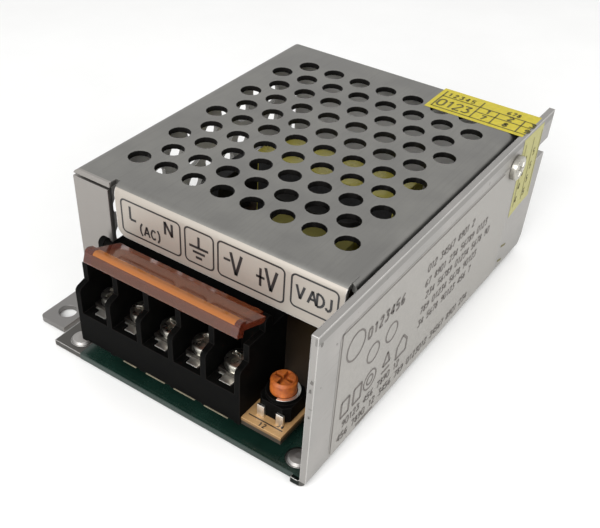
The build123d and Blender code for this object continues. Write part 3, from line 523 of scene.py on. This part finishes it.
bulk, cans, small = span("bulk_capacitor"), span("output_capacitors"), span("small_capacitor")
FINISHES = {
    "chassis": chassis_metal, "perforated_cover": galvanised, "circuit_board": laminate,
    "board_standoffs": nickel, "board_screws": screw_steel, "package_screws": screw_steel,
    "insulating_film": film, "terminal_block": black_moulding, "terminal_contacts": bright_tin,
    "terminal_cover": amber, "trimmer_body": black_moulding, "trimmer_legs": bright_tin,
    "trimmer_rotor": rotor_plastic, "fuse_tube": glass, "fuse_caps": nickel,
    "input_choke_core": ferrite, "transformer_core": ferrite, "output_choke_core": ferrite,
    "input_choke_windings": copper, "output_choke_winding": copper,
    "transformer_bobbin": phenolic, "transformer_winding": winding_tape, "core_tape": tape,
    "film_capacitor": film_cap_plastic, "package_pads": pad_rubber, "case_screws": screw_steel,
    "inrush_thermistor": make_epoxy("thermistor_epoxy", "#1d2a20", "#2c3a2e"),
    "safety_capacitor": make_epoxy("blue_epoxy", "#1d4a94", "#2a5fae"),
    "bridge_rectifier": make_chip("rectifier_epoxy", "bridge_rectifier"),
    "control_chip": make_chip("chip_epoxy", "control_chip"),
    "optocoupler": make_chip("coupler_epoxy", "optocoupler"),
    "switching_transistor": make_power_package("transistor_package", "switching_transistor"),
    "output_rectifier": make_power_package("rectifier_package", "output_rectifier"),
    "resistors": make_resistor_coating(),
    "bulk_capacitor": make_can_sleeve("bulk_sleeve", "#17181b", "#24262b", "bulk_capacitor",
                                      (Y, bulk[0][Y] - 1, bulk[0][Y] + 2.5), along=X),
    "output_capacitors": make_can_sleeve("output_sleeve", "#1d2026", "#2b2f37",
                                         "output_capacitors",
                                         (X, cans[0][X] - 1, cans[0][X] + 1.6)),
    "small_capacitor": make_can_sleeve("small_sleeve", "#20242b", "#2d323b", "small_capacitor",
                                       (X, small[0][X] - 1, small[0][X] + 1.2)),
}
for number in range(1, 6):
    FINISHES[f"terminal_screw_{number}"] = screw_steel
    FINISHES[f"clamp_plate_{number}"] = shaded_clamp_zinc
for node, material in FINISHES.items():
    mesh = bpy.data.objects[node].data
    mesh.materials.clear()
    mesh.materials.append(material)


# Pieces in mesh code

def finish_piece(name, mesh_builder, material, body="case", smooth=False):
    mesh = bpy.data.meshes.new(name)
    build = bmesh.new()
    mesh_builder(build)
    build.to_mesh(mesh)
    build.free()
    mesh.materials.append(material)
    if smooth:
        mesh.shade_smooth()
        mesh.set_sharp_from_angle(angle=math.radians(32))
    piece = bpy.data.objects.new(name, mesh)
    bpy.context.scene.collection.objects.link(piece)
    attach(piece, body)
    return piece


def join_rows(build, rows, closed=False):
    # Faces between rows of vertices that have the same number.
    count = len(rows[0])
    for first, second in zip(rows, rows[1:]):
        for step in range(count if closed else count - 1):
            after = (step + 1) % count
            build.faces.new((first[step], second[step], second[after], first[after]))


def ramped(value, soft):
    # 0 outside, 1 inside, and a straight wall as wide as soft between them.
    return min(max(value / soft + 0.5, 0.0), 1.0)


def pan_screw(build, seat, outward, side, head, height, shank, length, turn):
    # A pan head with a cross recess, and a shank with its thread. head and shank are radii;
    # outward is the way the head points, and turn is how far the recess is turned.
    outward, side = Vector(outward), Vector(side)
    third = outward.cross(side)
    segments, face_rings, soft = 96, 26, 0.07
    arm, reach, depth = head * 0.155, head * 0.62, height * 0.55
    crown, under_edge = height * 0.16, 0.12
    pitch, thread_depth, rings_per_turn = 0.5, 0.16, 8
    rows = []

    def ring(radius, level, shape=None):
        row = []
        for step in range(segments):
            angle = 2 * math.pi * step / segments
            r, z = shape(angle, radius, level) if shape else (radius, level)
            across = side * math.cos(angle) * r + third * math.sin(angle) * r
            row.append(build.verts.new(seat + (across + outward * z) * MM))
        rows.append(row)

    def face(angle, radius, level):
        u, v = radius * math.cos(angle + turn), radius * math.sin(angle + turn)
        cut = max(ramped(arm - abs(u), soft) * ramped(reach - abs(v), soft * 3),
                  ramped(arm - abs(v), soft) * ramped(reach - abs(u), soft * 3))
        deeper = 1 - 0.45 * radius / reach
        return radius, level - cut * depth * max(deeper, 0.2)

    def thread(angle, radius, level):
        wave = 0.5 - 0.5 * math.cos(2 * math.pi * level / pitch - angle)
        return radius - thread_depth * wave, level

    for step in range(face_rings):
        radius = head * 0.9 * (step + 0.35) / (face_rings - 0.65)
        ring(radius, height - crown * (radius / head) ** 2, face)
    ring(head * 0.97, height - crown * 1.35)
    ring(head, height - crown * 2.2)
    ring(head, under_edge)
    ring(head - under_edge, 0.0)
    ring(shank, 0.0)
    count = max(int(length / pitch * rings_per_turn), rings_per_turn)
    for step in range(1, count + 1):
        ring(shank, -length * step / count, thread)
    join_rows(build, rows, closed=True)
    build.faces.new(rows[0])
    build.faces.new(rows[-1][::-1])
    bmesh.ops.recalc_face_normals(build, faces=build.faces)


def terminal_screw(x, turn):
    def build_one(build):
        pan_screw(build, point(x, TERMINAL_Y, TERMINAL_SEAT), (0, 0, 1), (1, 0, 0),
                  2.65, 1.8, 1.35, 4.2, turn)
    return build_one


def case_screws(build):
    sizes = (2.4, 1.4, 1.45, 5.0)
    pan_screw(build, point(CASE_WIDTH, 68.2, 27.6), (1, 0, 0), (0, 1, 0), *sizes, 0.5)
    pan_screw(build, point(0, 67.0, 9.0), (-1, 0, 0), (0, 1, 0), *sizes, 0.2)


# Each terminal's place along the block, and how far its screw's recess is turned.
TERMINALS = ((10.95, 0.4), (17.95, 1.1), (24.95, 0.1), (31.95, 0.75), (38.95, 0.25))
for number, (x, turn) in enumerate(TERMINALS, 1):
    piece = finish_piece(f"cross_head_screw_{number}", terminal_screw(x, turn), screw_steel,
                         f"terminal_screw_{number}_body", smooth=True)
    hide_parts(f"terminal_screw_{number}")
piece = finish_piece("cover_screws", case_screws, screw_steel,
                     smooth=True)
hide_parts("case_screws")


# Printed marks and labels

def rounded(width, height, radius):
    # The corners of a rounded rectangle round its centre, anticlockwise.
    steps = 6
    points = []
    for corner_x, corner_y, start in ((1, 1, 0), (-1, 1, 90), (-1, -1, 180), (1, -1, 270)):
        cx = corner_x * (width / 2 - radius)
        cy = corner_y * (height / 2 - radius)
        for step in range(steps + 1):
            angle = math.radians(start + 90 * step / steps)
            points.append((cx + radius * math.cos(angle), cy + radius * math.sin(angle)))
    return points


def oval(u, v, wide, tall, steps):
    # Points round an oval; wide and tall are its two radii.
    angles = [2 * math.pi * step / steps for step in range(steps)]
    return [(u + wide * math.cos(a), v + tall * math.sin(a)) for a in angles]


class Sheet:
    # A flat field of print: u runs right and v runs up on it, seen from outside.
    def __init__(self, origin, right, up):
        self.origin, self.right, self.up = Vector(origin), Vector(right), Vector(up)
        self.normal = self.right.cross(self.up)

    def at(self, u, v, lift):
        return self.origin + (self.right * u + self.up * v + self.normal * lift) * MM

    def fill(self, build, points, lift=LIFT):
        build.faces.new([build.verts.new(self.at(u, v, lift)) for u, v in points])

    def frame(self, build, left, low, right, high, width, radius):
        # The outline of a rounded rectangle.
        u, v = (left + right) / 2, (low + high) / 2
        outer = rounded(right - left, high - low, radius)
        inner = rounded(right - left - width * 2, high - low - width * 2,
                        max(radius - width, 0.05))
        rows = [[build.verts.new(self.at(u + p, v + q, LIFT)) for p, q in points]
                for points in (outer, inner)]
        # Turned so that the faces look outward.
        join_rows(build, [row[::-1] for row in rows], closed=True)

    def line(self, build, points, width, lift=LIFT):
        # A bar of print along each part of an unbroken line.
        for start, end in zip(points, points[1:]):
            a, b = Vector(start), Vector(end)
            side = (b - a).normalized().orthogonal() * width / 2
            self.fill(build, [a - side, b - side, b + side, a + side], lift)


# Strokes of the marks, on a field one unit high; each is a list of unbroken lines.
MARKS = {
    "L": [((0, 1), (0, 0), (0.5, 0))],
    "N": [((0, 0), (0, 1), (0.6, 0), (0.6, 1))],
    "V": [((0, 1), (0.29, 0), (0.58, 1))],
    "A": [((0, 0), (0.31, 1), (0.62, 0)), ((0.14, 0.35), (0.48, 0.35))],
    "D": [((0, 0), (0, 1), (0.3, 0.93), (0.48, 0.66), (0.48, 0.34), (0.3, 0.07), (0, 0))],
    "J": [((0.36, 1), (0.36, 0.22), (0.24, 0.02), (0.08, 0.02), (0, 0.2))],
    "C": [((0.5, 0.8), (0.3, 1), (0.1, 0.85), (0, 0.5), (0.1, 0.15), (0.3, 0), (0.5, 0.2))],
    "(": [((0.2, 1.15), (0, 0.75), (0, 0.25), (0.2, -0.15))],
    ")": [((0, 1.15), (0.2, 0.75), (0.2, 0.25), (0, -0.15))],
    "-": [((0, 0.5), (0.4, 0.5))],
    "+": [((0, 0.5), (0.46, 0.5)), ((0.23, 0.98), (0.23, 0.02))],
    "0": [((0.12, 0), (0, 0.2), (0, 0.8), (0.12, 1), (0.38, 1), (0.5, 0.8), (0.5, 0.2),
           (0.38, 0), (0.12, 0))],
    "1": [((0.1, 0.78), (0.3, 1), (0.3, 0))],
    "2": [((0, 0.8), (0.15, 1), (0.4, 1), (0.5, 0.75), (0, 0), (0.5, 0))],
    "3": [((0, 1), (0.5, 1), (0.22, 0.6), (0.45, 0.5), (0.48, 0.2), (0.3, 0), (0, 0.08))],
    "4": [((0.38, 0), (0.38, 1), (0, 0.3), (0.52, 0.3))],
    "5": [((0.48, 1), (0.05, 1), (0, 0.55), (0.35, 0.58), (0.5, 0.3), (0.35, 0), (0, 0.05))],
    "6": [((0.45, 1), (0.1, 0.7), (0, 0.25), (0.2, 0), (0.42, 0.05), (0.48, 0.35), (0.3, 0.5),
           (0.04, 0.35))],
    "7": [((0, 1), (0.5, 1), (0.18, 0))],
    "8": [((0.25, 0.53), (0.05, 0.78), (0.25, 1), (0.45, 0.78), (0.25, 0.53), (0, 0.25),
           (0.25, 0), (0.5, 0.25), (0.25, 0.53))],
    "9": [((0.08, 0), (0.42, 0.35), (0.5, 0.75), (0.28, 1), (0.06, 0.9), (0.03, 0.62),
           (0.25, 0.5), (0.48, 0.66))],
}
EARTH = [((0, 1), (0, 0.48)), ((-0.48, 0.48), (0.48, 0.48)), ((-0.31, 0.24), (0.31, 0.24)),
         ((-0.16, 0.0), (0.16, 0.0))]


def draw(sheet, build, runs, u, v, wide, tall, weight, lift=LIFT):
    for run in runs:
        sheet.line(build, [(u + a * wide, v + b * tall) for a, b in run], weight, lift)


def word(sheet, build, marks, u, v, height, weight, step, lift=LIFT, widen=1.0):
    # weight is the width of a stroke, step the way to the next mark.
    for mark in marks:
        if mark != " ":
            draw(sheet, build, MARKS[mark], u, v, height * widen, height, weight, lift)
        u += step


LIP = Sheet(point(0, LIP_FRONT, 0), (1, 0, 0), (0, 0, 1))
WALL = Sheet(point(CASE_WIDTH, 0, 0), (0, 1, 0), (0, 0, 1))
WALL_EDGE = Sheet(point(0, 0, 0), (1, 0, 0), (0, 0, 1))
TOP = Sheet(point(0, 0, CASE_HEIGHT), (1, 0, 0), (0, 1, 0))
BOARD = Sheet(point(0, 0, BOARD_TOP), (1, 0, 0), (0, 1, 0))


def print_lip(build):
    # Black printing on the lip: four rounded frames with the terminals' marks.
    for left, low, right, high in ((10.8, 24.0, 24.0, 30.8), (24.7, 24.1, 30.9, 31.0),
                                   (31.5, 24.2, 44.7, 31.1), (45.7, 24.8, 54.4, 31.2)):
        LIP.frame(build, left, low, right, high, 0.32, 1.0)
    draw(LIP, build, EARTH, 27.7, 25.6, 4.1, 4.1, 0.48)
    for marks, u, v, height, weight, step, widen in (
            ("L", 12.9, 27.2, 2.5, 0.46, 1, 1), ("N", 20.6, 27.3, 2.5, 0.5, 1, 1),
            ("(", 15.1, 25.1, 1.9, 0.36, 1, 1), ("AC", 15.9, 25.1, 1.9, 0.36, 1.55, 1),
            (")", 18.9, 25.1, 1.9, 0.36, 1, 1), ("-", 32.8, 26.3, 3.4, 0.46, 1, 1),
            ("V", 34.2, 25.6, 4.1, 0.56, 1, 0.9), ("+", 39.2, 25.7, 3.6, 0.48, 1, 1),
            ("V", 41.0, 25.6, 4.1, 0.56, 1, 0.9), ("V", 46.8, 26.8, 2.5, 0.46, 1, 1),
            ("ADJ", 48.95, 26.8, 2.5, 0.44, 1.62, 1)):
        word(LIP, build, marks, u, v, height, weight, step, widen=widen)


COUNTING = "012 34567 8901 234 56789 01234 5678 90123 456 7890 12 3456 789 0123"
# Each row of counting numbers on the label: left, foot and how many places.
LABEL_ROWS = ((34.8, 22.9, 16), (34.8, 19.6, 22), (34.8, 16.6, 24), (34.8, 13.6, 21),
              (34.8, 10.6, 19), (9.0, 6.0, 19), (9.0, 3.3, 44))
LABEL_RINGS = ((11.6, 23.0, 2.7), (18.0, 17.0, 1.9), (24.0, 17.2, 1.9), (18.2, 10.8, 2.0),
               (18.2, 10.8, 1.0))
# Two upright boxes, a bar under a triangle, a pointed shield and a bar.
LABEL_SHAPES = (((9.2, 8.9), (9.2, 12.4), (11.6, 12.4), (11.6, 8.9), (9.2, 8.9)),
                ((13.0, 8.9), (13.0, 12.4), (15.4, 12.4), (15.4, 8.9), (13.0, 8.9)),
                ((22.4, 8.8), (25.2, 8.8)),
                ((22.6, 10.2), (25.0, 10.2), (23.8, 12.9), (22.6, 10.2)),
                ((27.4, 8.4), (31.0, 8.4), (31.0, 11.0), (29.2, 12.9), (27.4, 11.0), (27.4, 8.4)),
                ((15.2, 2.2), (20.8, 2.2)))


def print_wall(build):
    # The rating label's generic contents: an outline, a heading, plain shapes and rows of
    # counting numbers.
    WALL.line(build, [(7.0, 2.4), (7.0, 28.2), (63.5, 28.2)], 0.26, OVER_LABEL)
    word(WALL, build, "0123456", 15.4, 21.5, 2.1, 0.5, 1.75, OVER_LABEL)
    for row, (u, v, count) in enumerate(LABEL_ROWS):
        text = (COUNTING * 3)[row * 7:row * 7 + count]
        word(WALL, build, text, u, v, 1.5, 0.3, 1.13, OVER_LABEL, widen=1.1)
    for u, v, radius in LABEL_RINGS:
        points = oval(u, v, radius, radius, 32)
        WALL.line(build, points + points[:1], 0.34, OVER_LABEL)
    for shape in LABEL_SHAPES:
        WALL.line(build, shape, 0.52, OVER_LABEL)


def label_field(build):
    # The silver label covers most of the wall and the ends of the package screws behind it.
    left, low, right, high, corner = 6.5, 1.6, 70.9, 28.7, 1.2
    WALL.fill(build, [(left + corner, low), (right, low), (right, high), (left + corner, high),
                      (left, high - corner), (left, low + corner)])


def sticker_path():
    # Across the top, round the wall's upper edge and down the wall: x, z and how far the strip
    # has slid back.
    top, side, radius = CASE_HEIGHT + LIFT, CASE_WIDTH + LIFT, 0.9
    path = [(37.0, top, 0.0), (56.9, top, 0.0)]
    for step in range(7):
        angle = math.radians(90 - 15 * step)
        path.append((side - radius + radius * math.cos(angle),
                     top - radius + radius * math.sin(angle), 0.05 * step))
    return path + [(side, 24.0, 0.9), (side, 14.8, 1.9)]


def date_sticker(build):
    # One strip of yellow paper, folded over the edge, its lower end cut askew.
    low, high, skew = 70.3, 79.8, 0.7
    path = sticker_path()
    rows = []
    for number, (x, z, slide) in enumerate(path):
        drop = skew if number == len(path) - 1 else 0.0
        rows.append([build.verts.new(point(x, low + slide, z - drop)),
                     build.verts.new(point(x, (low + high) / 2 + slide, z)),
                     build.verts.new(point(x, high + slide, z + drop * 0.3))])
    join_rows(build, rows)
    bmesh.ops.recalc_face_normals(build, faces=build.faces)


def print_sticker(build):
    # A ruled grid with plain numbers on the top, and faint rows down the wall.
    for rule in (((38.0, 71.4), (57.6, 71.4)), ((38.0, 76.4), (57.6, 76.4)),
                 ((46.1, 74.2), (57.6, 74.2)), ((38.0, 71.3), (38.0, 78.8)),
                 ((46.1, 71.4), (46.1, 78.8)), ((50.2, 71.4), (50.2, 76.4)),
                 ((55.5, 71.4), (55.5, 76.4))):
        TOP.line(build, rule, 0.28, OVER_LABEL)
    word(TOP, build, "12345", 38.8, 77.0, 1.3, 0.3, 1.25, OVER_LABEL)
    word(TOP, build, "678", 51.4, 77.0, 1.3, 0.3, 1.0, OVER_LABEL)
    word(TOP, build, "0123", 38.5, 72.3, 2.7, 0.42, 1.75, OVER_LABEL)
    for mark, u, v in (("1", 47.8, 74.7), ("7", 47.9, 72.0), ("2", 52.5, 74.7),
                       ("8", 52.5, 72.0), ("3", 56.9, 74.7), ("9", 56.9, 72.0)):
        word(TOP, build, mark, u, v, 1.5, 0.4, 1, OVER_LABEL, widen=1.2)
    for v in (17.0, 20.0, 23.0, 26.0):
        word(WALL, build, "4", 73.4, v, 1.4, 0.34, 1, OVER_LABEL)
        word(WALL, build, "5", 77.4, v, 1.4, 0.3, 1, OVER_LABEL)
    for u in (72.4, 76.2, 80.0):
        WALL.line(build, [(u - 0.3, 30.5), (u + 0.8, 16.2)], 0.2, OVER_LABEL)
    # Two short dashes on the bare wall below the sticker.
    for v, length in ((6.6, 2.6), (2.9, 2.2)):
        WALL.line(build, [(72.4, v + 0.5), (72.4 + length, v - 0.2)], 0.5)


def print_board(build):
    # Dark legend beside the trimmer: one line and two plain numbers.
    BOARD.line(build, [(43.6, 4.35), (50.4, 4.35)], 0.22)
    word(BOARD, build, "12", 46.3, 3.1, 0.85, 0.2, 0.8)
    word(BOARD, build, "34", 49.0, 4.75, 0.7, 0.18, 0.7)


def board_slivers(build):
    # The board's cut edge shows in four places below the block's skirt.
    for left, right in ((17.1, 20.1), (22.4, 26.7), (28.8, 33.5), (35.5, 40.6)):
        low, high = point(left, 2.36, 3.5), point(right, 2.9, 3.64)
        bmesh.ops.create_cube(build, size=1.0, matrix=Matrix.Translation((low + high) / 2)
                              @ Matrix.Diagonal((*(high - low), 1)))


def wear_marks(build):
    # Dull knocks: three on the wall's front edge and one on its face near the upper corner.
    WALL_EDGE.fill(build, [(57.3, 23.5), (57.8, 23.4), (57.9, 24.0), (57.5, 24.3)])
    WALL_EDGE.fill(build, [(57.2, 21.6), (57.7, 21.7), (57.6, 22.5), (57.3, 22.3)])
    WALL_EDGE.fill(build, [(57.4, 16.3), (57.8, 16.4), (57.6, 16.9)])
    WALL.fill(build, oval(1.1, 30.6, 0.34, 0.42, 16))


def collar_highlight_ring(build):
    # A bright tin half ring round the right half of the rotor, on the body's collar: a painted
    # highlight for the lit side of the collar.
    low, high, steps = 9.42, 9.52, 24
    start, sweep = -80, 170
    box = span("trimmer_rotor")
    x, y = (box[0][X] + box[1][X]) / 2, (box[0][Y] + box[1][Y]) / 2
    rotor = (box[1][X] - box[0][X]) / 2
    inner, outer = rotor + 0.1, rotor + 0.65
    rows = []
    for step in range(steps + 1):
        angle = math.radians(start + sweep * step / steps)
        u, v = math.cos(angle), math.sin(angle)
        rows.append([build.verts.new(point(x + u * r, y + v * r, z))
                     for r, z in ((inner, low), (outer, low), (outer, high), (inner, high))])
    join_rows(build, rows, closed=True)
    build.faces.new(rows[0])
    build.faces.new(rows[-1][::-1])
    bmesh.ops.recalc_face_normals(build, faces=build.faces)


def film_front(build):
    # The film is folded down over the base's front edge.
    left, right = 7.6, 56.8
    path = ((1.5, 1.46), (0.78, 1.4), (0.72, 1.2), (0.72, 0.1))
    rows = [[build.verts.new(point(x, y, z)) for x in (right, left)] for y, z in path]
    join_rows(build, rows)


def film_corner(build):
    # The film's corner round the right boss.
    left, right, front, back, height = 51.3, 56.6, 0.78, 14.0, 1.4
    x, y, radius, steps = 54.1, 4.0, 2.35, 32
    inner, outer = [], []
    for step in range(steps):
        angle = 2 * math.pi * (step + 0.5) / steps
        u, v = math.cos(angle), math.sin(angle)
        reach = min((right - x) / u if u > 0 else (left - x) / u,
                    (back - y) / v if v > 0 else (front - y) / v)
        inner.append(build.verts.new(point(x + u * radius, y + v * radius, height)))
        outer.append(build.verts.new(point(x + u * reach, y + v * reach, height)))
    join_rows(build, [inner, outer], closed=True)


finish_piece("wall_wear", wear_marks, knocked_metal)
finish_piece("trimmer_collar_highlight", collar_highlight_ring, bright_tin)
finish_piece("film_front_fold", film_front, film)
finish_piece("film_corner", film_corner, film)
finish_piece("lip_marks", print_lip, black_print)
finish_piece("rating_label", label_field, silver_label)
finish_piece("rating_marks", print_wall, grey_print)
finish_piece("date_sticker", date_sticker, yellow_paper, smooth=True)
finish_piece("date_grid", print_sticker, olive_print)
finish_piece("board_legend", print_board, black_print)
finish_piece("board_edge_slivers", board_slivers, board_edge)


# Camera, light and floor

def make_camera():
    # The photograph's own view, from the fitted camera: in front, to the right and above.
    frame_width, frame_height = 600, 528
    focal_pixels = 858.72
    centre_x, centre_y = 262.77, 360.22
    stand = (101.2, -76.48, 109.21)
    right = Vector((0.81224, 0.58277, 0.02541)).normalized()
    ahead = Vector((-0.41349, 0.60595, -0.6796)).normalized()
    down = ahead.cross(right)
    data = bpy.data.cameras.new("camera")
    data.sensor_width = 36.0
    data.lens = focal_pixels / frame_width * data.sensor_width
    data.shift_x = (frame_width / 2 - centre_x) / frame_width
    data.shift_y = (centre_y - frame_height / 2) / frame_width
    data.clip_start = 0.01
    camera = bpy.data.objects.new("camera", data)
    camera.location = point(*stand)
    turn = Matrix((right, -down, -ahead)).transposed()
    camera.rotation_euler = turn.to_euler()
    bpy.context.scene.collection.objects.link(camera)
    bpy.context.scene.camera = camera


def make_area(name, place, aim, size, power):
    data = bpy.data.lights.new(name, "AREA")
    data.shape = "RECTANGLE"
    data.size, data.size_y = size[0] * MM, size[1] * MM
    data.energy = power
    lamp = bpy.data.objects.new(name, data)
    lamp.location = point(*place)
    direction = point(*aim) - point(*place)
    lamp.rotation_euler = direction.to_track_quat("-Z", "Y").to_euler()
    bpy.context.scene.collection.objects.link(lamp)


def make_floor():
    # White paper, 3 m wide, just under the case.
    half_width, gap = 1.5, 0.0002
    material, tree, shader, place = new_material("white_paper_floor")
    cloud = noise(tree, place, 40.0)
    tone = ramp(tree, cloud, [(0.3, linear("#f4f4f3")), (0.7, linear("#f8f8f7"))])
    tree.links.new(tone, shader.inputs["Base Color"])
    shader.inputs["Roughness"].default_value = 0.9
    mesh = bpy.data.meshes.new("floor")
    build = bmesh.new()
    bmesh.ops.create_grid(build, x_segments=4, y_segments=4, size=half_width)
    build.to_mesh(mesh)
    build.free()
    mesh.materials.append(material)
    floor = bpy.data.objects.new("floor", mesh)
    floor.location = (0, 0, FLOOR - gap)
    bpy.context.scene.collection.objects.link(floor)


def make_world():
    # Full white to the camera, in reflections and through glass, softer as light.
    as_light, as_seen = 0.75, 1.0
    world = bpy.data.worlds.new("studio")
    world.use_nodes = True
    tree = world.node_tree
    tree.nodes.clear()
    path = add(tree, "ShaderNodeLightPath")
    seen = path.outputs["Is Camera Ray"]
    for kind in ("Is Glossy Ray", "Is Transmission Ray"):
        seen = add(tree, "ShaderNodeMath", [(0, seen), (1, path.outputs[kind])],
                   operation="MAXIMUM").outputs[0]
    strength = add(tree, "ShaderNodeMapRange", [(0, seen)],
                   values={3: as_light, 4: as_seen}).outputs[0]
    background = add(tree, "ShaderNodeBackground", [("Strength", strength)],
                     values={"Color": (1, 1, 1, 1)}).outputs[0]
    add(tree, "ShaderNodeOutputWorld", [(0, background)])
    bpy.context.scene.world = world


make_camera()
make_floor()
make_world()
make_area("key_light", (70, -330, 240), (29, 10, 10), (300, 220), 1.6)
make_area("side_light", (330, 60, 150), (58, 40, 15), (240, 200), 0.5)
bpy.context.scene.view_settings.view_transform = "Standard"
